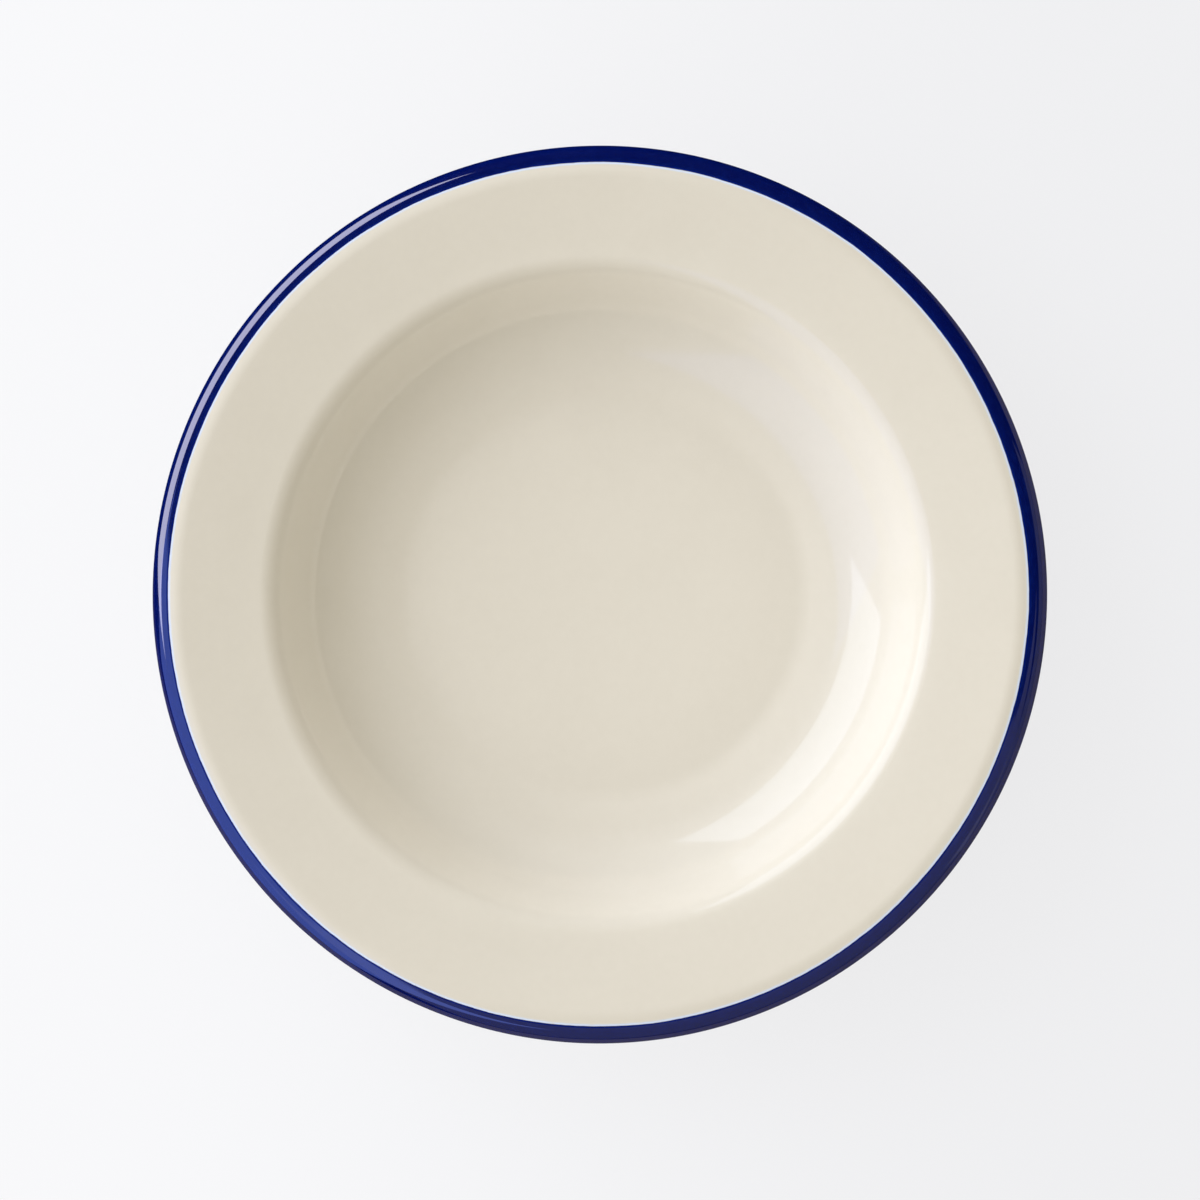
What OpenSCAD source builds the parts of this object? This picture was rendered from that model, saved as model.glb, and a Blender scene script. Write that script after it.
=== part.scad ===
// Rimmed soup plate: one turned and fired clay body with a foot ring, four coats of glaze on it.
// The plate stands on its foot ring. The origin is the centre of the ring's bearing face, +Z is up.

/* [Rim] */
// Diameter over the lip
rim_d = 240; // [220:1:280]
// Height of the rim's level top above the table
rim_h = 34.5; // [33:0.5:42]
// Upward slope of the broad rim, towards the lip, in degrees
rim_slope = 8; // [4:0.5:14]
// Width of the level top, from the edge to the corner where the broad rim meets it
crown_w = 6.6; // [5.5:0.1:9]
// Rounding between the broad rim and the level top
crown_r = 28; // [10:1:40]
// Rounding of the lip's upper edge
lip_r = 4.2; // [2.5:0.1:5]
// Rounding of the lip's lower edge
lip_under_r = 1.6; // [0.8:0.1:2]
// Depth of the thickened lip, from its top to its underside
lip_t = 6.2; // [5.6:0.1:8]
// Width of the thickened lip's underside
lip_w = 4.4; // [3.5:0.1:6]
// Width over which the lip's underside runs out into the broad rim
lip_blend_w = 4; // [3:0.1:6]

/* [Well] */
// Diameter of the corner where the wall meets the broad rim
well_d = 177; // [165:1:190]
// Rounding between the wall and the broad rim
shoulder_r = 7.2; // [3:0.1:9]
// Width of the wall's brow, where it eases off below the broad rim
brow_w = 2.9; // [2:0.1:4]
// Slope of the brow, in degrees
brow_slope = 45; // [38:1:48]
// Rounding between the wall and its brow
brow_r = 16; // [6:1:20]
// Slope of the wall, in degrees
wall_slope = 53; // [50:1:60]
// Rounding between the floor and the wall
cove_r = 28; // [12:1:32]
// Diameter of the floor, to where its dished edge starts
floor_d = 109; // [90:1:116]
// Height of the middle of the floor above that edge
swell_h = 0.5; // [0.2:0.1:1]
// Width over which the floor falls from its level middle to that edge
swell_w = 14.5; // [10:0.5:20]
// Rounding where the floor starts to fall
swell_r = 240; // [100:10:300]
// Slope of the dished edge of the floor, in degrees
dish_slope = 11; // [4:0.5:14]
// Rounding between the floor and its dished edge
dish_r = 20; // [10:1:40]

/* [Thickness] */
// Thickness of the wall and the broad rim, glazed
wall_t = 4.8; // [4:0.1:5.4]
// Thickness of the floor at its edge, glazed
base_t = 4.9; // [4:0.1:7]
// Thickness of a coat of glaze
glaze_t = 0.35; // [0.2:0.05:0.6]

/* [Foot] */
// Diameter over the root of the foot ring
foot_d = 122; // [110:1:126]
// Width of the foot ring at its root
foot_w = 6; // [5:0.1:9]
// Height from the table to the root of the foot ring outside
foot_h = 4; // [2.6:0.1:5]
// Depth of the recess inside the foot ring
recess_h = 3; // [2.6:0.1:4.5]
// Taper of the foot ring's flanks, in degrees
foot_taper = 14; // [6:1:20]
// Rounding at the root of the foot ring, outside
root_r = 1.4; // [0.8:0.1:2]
// Rounding at the root of the foot ring, inside
recess_r = 2.4; // [1:0.1:4]
// Rounding of the foot ring's bearing edges
tread_r = 0.8; // [0.4:0.1:1.1]
// Rounding of the heel, between the wall's back and the foot ring
heel_r = 21; // [8:1:24]
// Height to which the foot ring is wiped bare of glaze
bare_h = 1.4; // [1:0.1:1.8]

/* [Band] */
// Width of the coloured band on top of the lip
band_w = 4.35; // [3:0.05:6]
// Width of the coloured band under the lip
band_under_w = 2.8; // [2:0.05:4]

/* [Hidden] */

// Largest angle between two points of a rounding, in degrees
arc_step = 5;
// The roundings at both ends of a side take at most this share of it
side_share = 0.98;
// Sides of the full circle in the preview
turn_sides = 180;
// What a cutting shape runs past what it cuts
overrun = 1;

rim_r = rim_d / 2;
well_r = well_d / 2;
foot_r = foot_d / 2;
floor_z = recess_h + base_t;

// Corners of the finished face, before they are rounded
floor_edge = [floor_d / 2, floor_z];
swell_edge = floor_edge + [-swell_w, swell_h];
crown_corner = [rim_r - crown_w, rim_h];
shoulder_corner = [well_r, rim_h - (crown_corner.x - well_r) * tan(rim_slope)];
brow_corner = shoulder_corner - brow_w * [1, tan(brow_slope)];
cove_corner = meet(floor_edge, heading(dish_slope), brow_corner, heading(wall_slope));
// Height that parts the face from the back at the outer edge
edge_z = rim_h - lip_t + lip_under_r + (lip_t - lip_under_r - lip_r) / 2;

// Corners of the finished back. Wall and broad rim have parallel faces.
back_wall_point = brow_corner + wall_t * right_of(heading(wall_slope));
back_rim_point = shoulder_corner + wall_t * right_of(heading(rim_slope));
back_shoulder = meet(back_wall_point, heading(wall_slope), back_rim_point, heading(rim_slope));
lip_run_out_r = rim_r - lip_w - lip_blend_w;
lip_run_out = meet([lip_run_out_r, rim_h], heading(90), back_rim_point, heading(rim_slope));
heel_corner = meet([foot_r, foot_h], heading(0), back_wall_point, heading(wall_slope));

// Corners of the foot ring. Its flanks taper towards the table.
inner_root_r = foot_r - foot_w;
outer_flank = foot_r - foot_h * tan(foot_taper);
inner_flank = inner_root_r + recess_h * tan(foot_taper);
outer_bare = [foot_r - (foot_h - bare_h) * tan(foot_taper), bare_h];
inner_bare = [inner_root_r + (recess_h - bare_h) * tan(foot_taper), bare_h];

// Outlines of the finished plate, clay on their right: each point is [radius, height, rounding]
face_path = [
    [0, swell_edge.y, 0],
    [swell_edge.x, swell_edge.y, swell_r],
    [floor_edge.x, floor_edge.y, dish_r],
    [cove_corner.x, cove_corner.y, cove_r],
    [brow_corner.x, brow_corner.y, brow_r],
    [shoulder_corner.x, shoulder_corner.y, shoulder_r],
    [crown_corner.x, crown_corner.y, crown_r],
    [rim_r, rim_h, lip_r],
    [rim_r, edge_z, 0],
];
back_path = [
    [rim_r, edge_z, 0],
    [rim_r, rim_h - lip_t, lip_under_r],
    [rim_r - lip_w, rim_h - lip_t, lip_blend_w],
    [lip_run_out.x, lip_run_out.y, lip_blend_w],
    [back_shoulder.x, back_shoulder.y, shoulder_r + wall_t],
    [heel_corner.x, heel_corner.y, heel_r],
    [foot_r, foot_h, root_r],
    [outer_bare.x, outer_bare.y, 0],
];
tread_path = [
    [outer_bare.x, outer_bare.y, 0],
    [outer_flank, 0, tread_r],
    [inner_flank, 0, tread_r],
    [inner_bare.x, inner_bare.y, 0],
];
recess_path = [
    [inner_bare.x, inner_bare.y, 0],
    [inner_root_r, recess_h, recess_r],
    [0, recess_h, 0],
];
// Face and back in one, straight through the point where they part at the outer edge
outside_path = concat(
    [for (i = [0:len(face_path) - 2]) face_path[i]],
    [for (i = [1:len(back_path) - 1]) back_path[i]]
);

// Unit direction at an angle to the horizontal
function heading(angle) = [cos(angle), sin(angle)];
// Direction a quarter turn to the right
function right_of(way) = [way.y, -way.x];
// Unit direction from one path point to the next
function way_to(from, to) = let (step = [to.x - from.x, to.y - from.y]) step / norm(step);
// Point where two lines meet, each given by a point and a direction
function meet(p, p_way, q, q_way) = p + p_way * cross(q - p, q_way) / cross(p_way, q_way);
// Signed turn between two directions, in degrees, left turns positive
function turn_between(a, b) = atan2(cross(a, b), a * b);
function turned(v, angle) = [v.x * cos(angle) - v.y * sin(angle), v.x * sin(angle) + v.y * cos(angle)];
function reversed(list) = [for (i = [len(list) - 1:-1:0]) list[i]];

// Turn at one corner of a path
function turn_at(path, i) = turn_between(way_to(path[i - 1], path[i]), way_to(path[i], path[i + 1]));
// Length that one corner's rounding takes of each side beside it
function reach(path, i) =
    i > 0 && i < len(path) - 1 ? path[i][2] * tan(abs(turn_at(path, i)) / 2) : 0;
// Share to which the roundings at both ends of a side shrink, to fit on it
function side_fit(path, i) =
    let (room = side_share * norm([path[i + 1].x - path[i].x, path[i + 1].y - path[i].y]))
    room / max(reach(path, i) + reach(path, i + 1), room);

// Points of the arc that rounds one corner
function arc_points(path, i) =
    let (way = way_to(path[i - 1], path[i]), turn = turn_at(path, i))
    let (r = path[i][2] * min(side_fit(path, i - 1), side_fit(path, i)))
    let (start = [path[i].x, path[i].y] - way * r * tan(abs(turn) / 2))
    let (centre = start - right_of(way) * r * sign(turn))
    let (steps = ceil(abs(turn) / arc_step))
    [for (k = [0:steps]) centre + turned(start - centre, turn * k / steps)];

// Path with its corners rounded
function rounded(path) = [
    for (i = [0:len(path) - 1])
        for (point = i == 0 || i == len(path) - 1 ? [[path[i].x, path[i].y]] : arc_points(path, i))
            point
];

// Path moved to its right by a depth. Roundings keep their centres.
function sunk(path, depth) =
    let (end = len(path) - 1)
    [
        for (i = [0:end])
            let (p = [path[i].x, path[i].y])
            let (a = way_to(path[max(i - 1, 0)], path[max(i, 1)]))
            let (b = way_to(path[min(i, end - 1)], path[min(i + 1, end)]))
            let (moved = i == 0 || i == end
                ? p + depth * right_of(a)
                : meet(p + depth * right_of(a), a, p + depth * right_of(b), b))
            let (round = path[i][2] + depth * sign(turn_between(a, b)))
            [moved.x, moved.y, i == 0 || i == end ? 0 : max(round, depth)]
    ];

// Coat of glaze between a path and the clay under it
module coat(path) {
    polygon(concat(rounded(path), reversed(rounded(sunk(path, glaze_t)))));
}

// Section of the lip that the coloured band covers
module band_region() {
    translate([rim_r - band_w, edge_z]) square([band_w + overrun, rim_h + overrun - edge_z]);
    translate([rim_r - band_under_w, rim_h - lip_t - overrun])
        square([band_under_w + overrun, edge_z - rim_h + lip_t + overrun]);
}

module turned_solid() {
    rotate_extrude($fn = turn_sides) children();
}

// One-piece fired clay body, bare on the tread of its foot ring
module clay_body() {
    color("#d9cdb8") turned_solid() polygon(concat(
        rounded(sunk(outside_path, glaze_t)),
        rounded(tread_path),
        rounded(sunk(recess_path, glaze_t))
    ));
}

// Cream glaze over the well, the wall and the broad rim, up to the band
module face_glaze() {
    color("#e3dccb") turned_solid() difference() {
        coat(face_path);
        band_region();
    }
}

// Cobalt glaze round the lip
module rim_band() {
    color("#10206e") turned_solid() intersection() {
        coat(outside_path);
        band_region();
    }
}

// Cream glaze on the back, from the band to the wiped foot ring
module back_glaze() {
    color("#ded6c4") turned_solid() difference() {
        coat(back_path);
        band_region();
    }
}

// Cream glaze in the recess inside the foot ring
module foot_well_glaze() {
    color("#d8d0bd") turned_solid() coat(recess_path);
}

clay_body();
face_glaze();
rim_band();
back_glaze();
foot_well_glaze();
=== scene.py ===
"""Rimmed soup plate: the finish of its clay and glazes, and the studio that shows it."""

import math
from typing import NamedTuple

import bpy
from mathutils import Matrix, Quaternion, Vector


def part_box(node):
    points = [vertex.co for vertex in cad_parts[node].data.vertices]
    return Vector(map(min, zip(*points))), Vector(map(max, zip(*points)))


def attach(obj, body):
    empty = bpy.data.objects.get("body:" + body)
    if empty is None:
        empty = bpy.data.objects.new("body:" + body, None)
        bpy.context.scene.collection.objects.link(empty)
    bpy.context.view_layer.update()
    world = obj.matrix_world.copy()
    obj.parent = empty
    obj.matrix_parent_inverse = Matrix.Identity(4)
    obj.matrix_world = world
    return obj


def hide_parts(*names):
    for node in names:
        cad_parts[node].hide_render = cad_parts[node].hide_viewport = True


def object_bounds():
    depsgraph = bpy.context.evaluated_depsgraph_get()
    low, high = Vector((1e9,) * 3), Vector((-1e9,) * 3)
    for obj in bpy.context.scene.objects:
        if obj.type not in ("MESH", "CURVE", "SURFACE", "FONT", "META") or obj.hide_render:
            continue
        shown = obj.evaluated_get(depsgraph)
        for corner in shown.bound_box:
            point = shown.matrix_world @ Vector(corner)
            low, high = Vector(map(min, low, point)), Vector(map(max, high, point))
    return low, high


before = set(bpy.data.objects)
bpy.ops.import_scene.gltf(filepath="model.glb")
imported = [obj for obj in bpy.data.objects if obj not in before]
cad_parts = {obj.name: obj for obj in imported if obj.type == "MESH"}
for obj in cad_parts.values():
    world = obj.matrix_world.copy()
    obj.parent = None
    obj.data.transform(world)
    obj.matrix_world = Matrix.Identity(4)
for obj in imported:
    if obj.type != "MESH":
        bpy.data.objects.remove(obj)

CAD_LOW, CAD_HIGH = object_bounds()

bl_info = {
    "name": "Rimmed Soup Plate",
    "version": (1, 0, 0),
    "blender": (4, 5, 0),
    "location": "View3D > Sidebar > Soup Plate",
    "description": "Builds the clay, the glazes and the studio of a rimmed soup plate",
    "category": "Add Mesh",
}

MM = 0.001


# Sizes that the frame gives
def node_low(name):
    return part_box(name)[0]


def node_high(name):
    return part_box(name)[1]


RIM_R = CAD_HIGH.x
RIM_H = CAD_HIGH.z
GLAZE_T = RIM_H - node_high("clay_body").z
BAND_W = RIM_R - node_high("face_glaze").x
BAND_UNDER_W = RIM_R - node_high("back_glaze").x
LIP_T = RIM_H - node_low("rim_band").z
RECESS_H = node_high("foot_well_glaze").z - GLAZE_T
BARE_H = node_low("foot_well_glaze").z


def length(name, description, default):
    return bpy.props.FloatProperty(
        name=name, description=description, default=default, min=0.0, precision=5, unit="LENGTH"
    )


def slope(name, description, degrees):
    return bpy.props.FloatProperty(
        name=name, description=description, default=math.radians(degrees), subtype="ANGLE"
    )


def share(name, description, default):
    return bpy.props.FloatProperty(
        name=name, description=description, default=default, min=0.0, max=1.0, subtype="FACTOR"
    )


def number(name, description, default):
    return bpy.props.FloatProperty(name=name, description=description, default=default)


def colour(name, description, red, green, blue):
    return bpy.props.FloatVectorProperty(
        name=name,
        description=description,
        default=(red, green, blue),
        size=3,
        min=0.0,
        max=1.0,
        subtype="COLOR",
    )


class PlateSizes(bpy.types.PropertyGroup):
    """Sizes of the turned section: the construction model's, and the crest where the rim rolls over"""

    rim_slope: slope("Rim Slope", "Upward slope of the broad rim, towards the lip", 8)
    crown_w: length("Crown Width", "From the lip to where the rim's slope reaches the full height", 6.6 * MM)
    crest_w: length("Crest Width", "From the lip to the crest, where the rim rolls over", 7.5 * MM)
    crest_r: length("Crest Rounding", "Rounding between the broad rim and its fall to the lip", 9 * MM)
    crest_fall: slope("Crest Fall", "Downward slope from the crest to the lip", 8)
    lip_r: length("Lip Rounding", "Rounding of the lip's upper edge", 4.2 * MM)
    lip_under_r: length("Under-Lip Rounding", "Rounding of the lip's lower edge", 1.6 * MM)
    lip_w: length("Lip Width", "Width of the thickened lip's underside", 4.4 * MM)
    lip_blend_w: length("Lip Run-Out", "Width over which the lip runs out into the rim", 4 * MM)
    well_r: length("Well Radius", "Radius of the corner where the wall meets the rim", 88.5 * MM)
    shoulder_r: length("Shoulder Rounding", "Rounding between the brow and the rim", 7.2 * MM)
    brow_w: length("Brow Width", "Width of the wall's top, where it eases off below the shoulder", 2.9 * MM)
    brow_slope: slope("Brow Slope", "Slope of the wall's top, below the shoulder", 45)
    brow_r: length("Brow Rounding", "Rounding between the wall and the brow", 16 * MM)
    wall_slope: slope("Wall Slope", "Slope of the wall", 53)
    cove_r: length("Cove Rounding", "Rounding between the floor and the wall", 28 * MM)
    floor_r: length("Floor Radius", "Radius of the level floor", 54.5 * MM)
    swell_h: length("Floor Swell", "Height of the middle of the floor above its edge", 0.5 * MM)
    swell_w: length("Swell Width", "Width over which the floor falls to its edge", 14.5 * MM)
    swell_r: length("Swell Rounding", "Rounding where the floor starts to fall", 240 * MM)
    dish_slope: slope("Dish Slope", "Slope of the dished edge of the floor", 11)
    dish_r: length("Dish Rounding", "Rounding between the level floor and its dished edge", 20 * MM)
    wall_t: length("Wall Thickness", "Thickness of the wall and the rim, glazed", 4.8 * MM)
    base_t: length("Base Thickness", "Thickness of the floor at its edge, glazed", 4.9 * MM)
    foot_r: length("Foot Radius", "Radius of the foot ring at its root", 61 * MM)
    foot_w: length("Foot Width", "Width of the foot ring at its root", 6 * MM)
    foot_h: length("Foot Height", "Height of the foot ring outside", 4 * MM)
    foot_taper: slope("Foot Taper", "Taper of the foot ring's flanks", 14)
    root_r: length("Root Rounding", "Rounding at the root of the foot ring, outside", 1.4 * MM)
    recess_r: length("Recess Rounding", "Rounding at the root of the foot ring, inside", 2.4 * MM)
    tread_r: length("Tread Rounding", "Rounding of the foot ring's bearing edges", 0.8 * MM)
    heel_r: length("Heel Rounding", "Rounding between the wall's back and the foot ring", 21 * MM)


class PlateFinish(bpy.types.PropertyGroup):
    """Colours and surface character of the clay and the glazes"""

    cream_thick: colour("Thick Cream", "Cream glaze where it lies thick", 0.790, 0.727, 0.625)
    cream_thin: colour("Thin Cream", "Cream glaze where the clay shows through it", 0.705, 0.643, 0.545)
    speck: colour("Iron Speck", "Colour of the specks in the cream glaze", 0.30, 0.23, 0.16)
    cobalt: colour("Cobalt Glaze", "Colour of the band round the lip", 0.0003, 0.0042, 0.092)
    cobalt_thin: colour("Thin Cobalt", "Cobalt glaze where the brush left less", 0.0025, 0.017, 0.185)
    cobalt_gloss: colour("Cobalt Gloss", "Tint of what the cobalt glaze reflects", 1.0, 0.85, 0.84)
    fringe: colour("Cobalt Fringe", "Pale line where cobalt bleeds into the cream", 0.66, 0.735, 0.91)
    clay: colour("Fired Clay", "Colour of the bare clay", 0.62, 0.52, 0.40)
    clay_dark: colour("Toasted Clay", "Bare clay beside the glaze, and the grog in it", 0.40, 0.29, 0.19)
    fringe_w: length("Fringe Width", "Width of the pale line inside the band", 0.5 * MM)
    bleed: length("Cobalt Bleed", "How far the cobalt has run inwards over the cream", 0.5 * MM)
    wobble: length("Band Wobble", "How far the band's edge wanders", 0.14 * MM)
    speck_d: length("Speck Size", "Diameter of the specks and pinholes", 0.34 * MM)
    unevenness: length("Unevenness", "How far the glazed surface sinks from a true turned one", 0.06 * MM)


class StudioSettings(bpy.types.PropertyGroup):
    """Camera, lamps and floor"""

    camera_lean: slope("Camera Lean", "Angle between the camera's line and the plate's axis", 5.2)
    camera_side: slope("Camera Side", "Direction of that lean in the plan, from +X towards -Y", 9.4)
    camera_distance: length("Camera Distance", "From the camera to the middle of the rim", 1.5)
    picture_w: length("Picture Width", "Width that the picture takes in at the rim's height", 0.3197)
    softbox_tint: colour("Softbox Tint", "Colour of the large lamp and the white cards", 0.68, 0.79, 1.0)
    daylight: colour("Daylight", "Colour of the windows", 0.88, 0.905, 1.0)
    sheen: colour("Sheen", "Colour that the softbox's reflection gains", 0.0, 0.35, 1.0)
    glow: colour("Glow", "Colour of the blue card in reflections", 0.17, 0.3, 1.0)
    bounce: colour("Bounce", "Colour of the light that comes back from the room", 1.0, 0.958, 0.775)
    softbox_light: number("Softbox Light", "Brightness of the large lamp's face", 2.46)
    sheen_light: number("Sheen Light", "Brightness that the softbox's reflection gains", 1.6)
    card_light: number("Card Light", "Brightness of the white cards", 0.12)
    glow_light: number("Glow Light", "Brightness of the blue card", 0.95)
    room_light: number("Room Light", "Brightness of the even light all round", 0.51)
    window_light: number("Window Light", "Brightness of the light from the brightest window", 0.71)
    room_gloss: share("Room in Reflections", "How much of the room the gloss shows", 0.004)
    floor_gloss: share("Floor in Reflections", "How much of the floor's near side the gloss shows", 0.15)
    floor_glow: share("Floor Glow", "Share of the floor that is drawn pale whatever light falls on it", 0.89)
    under_glow: share("Glow Under the Plate", "Share of that glow that is left under the plate", 0.1)
    # Painted light: the floor is drawn lighter towards the window and darker away from it
    floor_lit: colour("Lit Floor", "Colour of the floor towards the window", 0.935, 0.935, 0.95)
    floor_far: colour("Far Floor", "Colour of the floor away from the window", 0.865, 0.865, 0.88)


# Turned section, worked out in the plane of radius and height
class Corner(NamedTuple):
    r: float
    z: float
    rounding: float = 0.0

    @property
    def point(self):
        return Vector((self.r, self.z))


def heading(angle):
    return Vector((math.cos(angle), math.sin(angle)))


def right_of(way):
    return Vector((way.y, -way.x))


def meet(p, p_way, q, q_way):
    """Point where the line through p along its way crosses the line through q along its own"""
    return p + p_way * ((q - p).cross(q_way) / p_way.cross(q_way))


def turn_between(a, b):
    return math.atan2(a.cross(b), a.dot(b))


def turned(v, angle):
    cos, sin = math.cos(angle), math.sin(angle)
    return Vector((v.x * cos - v.y * sin, v.x * sin + v.y * cos))


def way_to(start, end):
    return (end.point - start.point).normalized()


class Fineness(NamedTuple):
    """How far an outline's points lie apart: the largest turn of an arc and the longest straight step"""

    turn: float
    step: float


# Share of a side that the roundings at its ends may take
SIDE_SHARE = 0.98
# Fineness of the surfaces that show, and of those where one body covers another
SEEN = Fineness(math.radians(1.5), 1.6 * MM)
COVERED = Fineness(math.radians(5), 8 * MM)


def turn_at(path, i):
    return turn_between(way_to(path[i - 1], path[i]), way_to(path[i], path[i + 1]))


def reach(path, i):
    """Length that a corner's rounding takes of each side beside it"""
    return path[i].rounding * math.tan(abs(turn_at(path, i)) / 2) if 0 < i < len(path) - 1 else 0.0


def side_fit(path, i):
    """Share to which the roundings at both ends of a side shrink, to fit on it"""
    room = (path[i + 1].point - path[i].point).length * SIDE_SHARE
    return room / max(reach(path, i) + reach(path, i + 1), room)


def arc_points(path, i, largest_turn):
    """Points of the arc that rounds one corner of a path"""
    way, turn = way_to(path[i - 1], path[i]), turn_at(path, i)
    radius = path[i].rounding * min(side_fit(path, i - 1), side_fit(path, i))
    start = path[i].point - way * radius * math.tan(abs(turn) / 2)
    centre = start - right_of(way) * math.copysign(radius, turn)
    steps = max(2, math.ceil(abs(turn) / largest_turn))
    return [centre + turned(start - centre, turn * k / steps) for k in range(steps + 1)]


def rounded(path, fineness):
    """Path with its corners rounded and its long stretches divided"""
    corners = [path[0].point]
    for i in range(1, len(path) - 1):
        corners += arc_points(path, i, fineness.turn)
    corners.append(path[-1].point)
    points = [corners[0]]
    for start, end in zip(corners, corners[1:]):
        steps = max(1, math.ceil((end - start).length / fineness.step))
        points += [start.lerp(end, i / steps) for i in range(1, steps + 1)]
    return points


def sunk(path, depth):
    """Path moved to its right by a depth, with roundings that keep their centres"""
    moved = []
    last = len(path) - 1
    for i, corner in enumerate(path):
        a = way_to(path[max(i - 1, 0)], path[max(i, 1)])
        b = way_to(path[min(i, last - 1)], path[min(i + 1, last)])
        if i in (0, last):
            moved.append(Corner(*(corner.point + right_of(a) * depth)))
            continue
        point = meet(corner.point + right_of(a) * depth, a, corner.point + right_of(b) * depth, b)
        rounding = corner.rounding + math.copysign(depth, turn_between(a, b))
        moved.append(Corner(point.x, point.y, max(rounding, depth)))
    return moved


def split_at_radius(points, radius):
    """The points up to the first crossing of a radius, and those from it on"""
    for i, (a, b) in enumerate(zip(points, points[1:])):
        if min(a.x, b.x) <= radius < max(a.x, b.x):
            crossing = a.lerp(b, (radius - a.x) / (b.x - a.x))
            return points[: i + 1] + [crossing], [crossing] + points[i + 1 :]
    raise ValueError(f"the outline never crosses the radius {radius}")


def shoulder_and_brow(sizes):
    """Where the rim's slope ends on the face, and where the brow below it meets the wall"""
    rim_w = RIM_R - sizes.crown_w - sizes.well_r
    shoulder = Vector((sizes.well_r, RIM_H - rim_w * math.tan(sizes.rim_slope)))
    brow_way = heading(sizes.brow_slope)
    return shoulder, shoulder - brow_way * (sizes.brow_w / brow_way.x)


def lip_corners(sizes):
    """Corners of the crest and of the lip's upper edge, and the middle of the lip's upright side"""
    crest_over = sizes.crest_r * (1 / math.cos(sizes.crest_fall) - 1)
    crest = Vector((RIM_R - sizes.crest_w, RIM_H + crest_over))
    lip_z = crest.y - sizes.crest_w * math.tan(sizes.crest_fall)
    lip_foot = lip_z - sizes.lip_r * math.tan((math.pi / 2 - sizes.crest_fall) / 2)
    edge_z = (lip_foot + RIM_H - LIP_T + sizes.lip_under_r) / 2
    return Corner(*crest, sizes.crest_r), Corner(RIM_R, lip_z, sizes.lip_r), Corner(RIM_R, edge_z)


def bare_corners(sizes):
    """Where the glaze ends on the foot ring's flanks, outside and inside"""
    taper = math.tan(sizes.foot_taper)
    inner_root = sizes.foot_r - sizes.foot_w
    outer_bare = Corner(sizes.foot_r - (sizes.foot_h - BARE_H) * taper, BARE_H)
    inner_bare = Corner(inner_root + (RECESS_H - BARE_H) * taper, BARE_H)
    return outer_bare, inner_bare


def face_path(sizes):
    """Corners of the face, from the middle of the well to the lip's side"""
    shoulder, brow = shoulder_and_brow(sizes)
    floor_edge = Vector((sizes.floor_r, RECESS_H + sizes.base_t))
    swell = floor_edge + Vector((-sizes.swell_w, sizes.swell_h))
    cove = meet(floor_edge, heading(sizes.dish_slope), brow, heading(sizes.wall_slope))
    return [
        Corner(0, swell.y),
        Corner(*swell, sizes.swell_r),
        Corner(*floor_edge, sizes.dish_r),
        Corner(*cove, sizes.cove_r),
        Corner(*brow, sizes.brow_r),
        Corner(*shoulder, sizes.shoulder_r),
        *lip_corners(sizes),
    ]


def back_path(sizes):
    """Corners of the back, from the lip's side to where the foot ring is bare"""
    shoulder, brow = shoulder_and_brow(sizes)
    _, _, edge = lip_corners(sizes)
    outer_bare, _ = bare_corners(sizes)
    rim_way = heading(sizes.rim_slope)
    wall_way = heading(sizes.wall_slope)
    back_wall = brow + right_of(wall_way) * sizes.wall_t
    back_rim = shoulder + right_of(rim_way) * sizes.wall_t
    back_shoulder = meet(back_wall, wall_way, back_rim, rim_way)
    run_out_r = RIM_R - sizes.lip_w - sizes.lip_blend_w
    run_out = meet(Vector((run_out_r, RIM_H)), heading(math.pi / 2), back_rim, rim_way)
    heel = meet(Vector((sizes.foot_r, sizes.foot_h)), heading(0), back_wall, wall_way)
    return [
        edge,
        Corner(RIM_R, RIM_H - LIP_T, sizes.lip_under_r),
        Corner(RIM_R - sizes.lip_w, RIM_H - LIP_T, sizes.lip_blend_w),
        Corner(*run_out, sizes.lip_blend_w),
        Corner(*back_shoulder, sizes.shoulder_r + sizes.wall_t),
        Corner(*heel, sizes.heel_r),
        Corner(sizes.foot_r, sizes.foot_h, sizes.root_r),
        outer_bare,
    ]


def foot_paths(sizes):
    """Corners of the bare tread, and those of the recess, from the tread to the middle of the base"""
    outer_bare, inner_bare = bare_corners(sizes)
    taper = math.tan(sizes.foot_taper)
    inner_root = sizes.foot_r - sizes.foot_w
    tread = [
        outer_bare,
        Corner(sizes.foot_r - sizes.foot_h * taper, 0, sizes.tread_r),
        Corner(inner_root + RECESS_H * taper, 0, sizes.tread_r),
        inner_bare,
    ]
    recess = [inner_bare, Corner(inner_root, RECESS_H, sizes.recess_r), Corner(0, RECESS_H)]
    return tread, recess


class Section:
    """Outlines of the five bodies of material, from the well's middle round to the base's middle"""

    def __init__(self, sizes):
        face, back = face_path(sizes), back_path(sizes)
        tread, recess = foot_paths(sizes)
        face_in, face_out = split_at_radius(rounded(face, SEEN), RIM_R - BAND_W)
        face_under = rounded(sunk(face, GLAZE_T), COVERED)
        face_under_in, face_under_out = split_at_radius(face_under, RIM_R - BAND_W)
        back_out, back_in = split_at_radius(rounded(back, SEEN), RIM_R - BAND_UNDER_W)
        back_under = rounded(sunk(back, GLAZE_T), COVERED)
        back_under_out, back_under_in = split_at_radius(back_under, RIM_R - BAND_UNDER_W)
        recess_top = rounded(sunk(recess, GLAZE_T), COVERED)
        self.face_glaze = face_in + face_under_in[::-1]
        self.rim_band = face_out + back_out[1:] + (face_under_out + back_under_out[1:])[::-1]
        self.back_glaze = back_in + back_under_in[::-1]
        self.foot_well_glaze = rounded(recess, SEEN) + recess_top[::-1]
        self.clay_body = (
            face_under_in
            + face_under_out[1:]
            + back_under_out[1:]
            + back_under_in[1:]
            + rounded(tread, SEEN)
            + recess_top
        )


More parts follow.
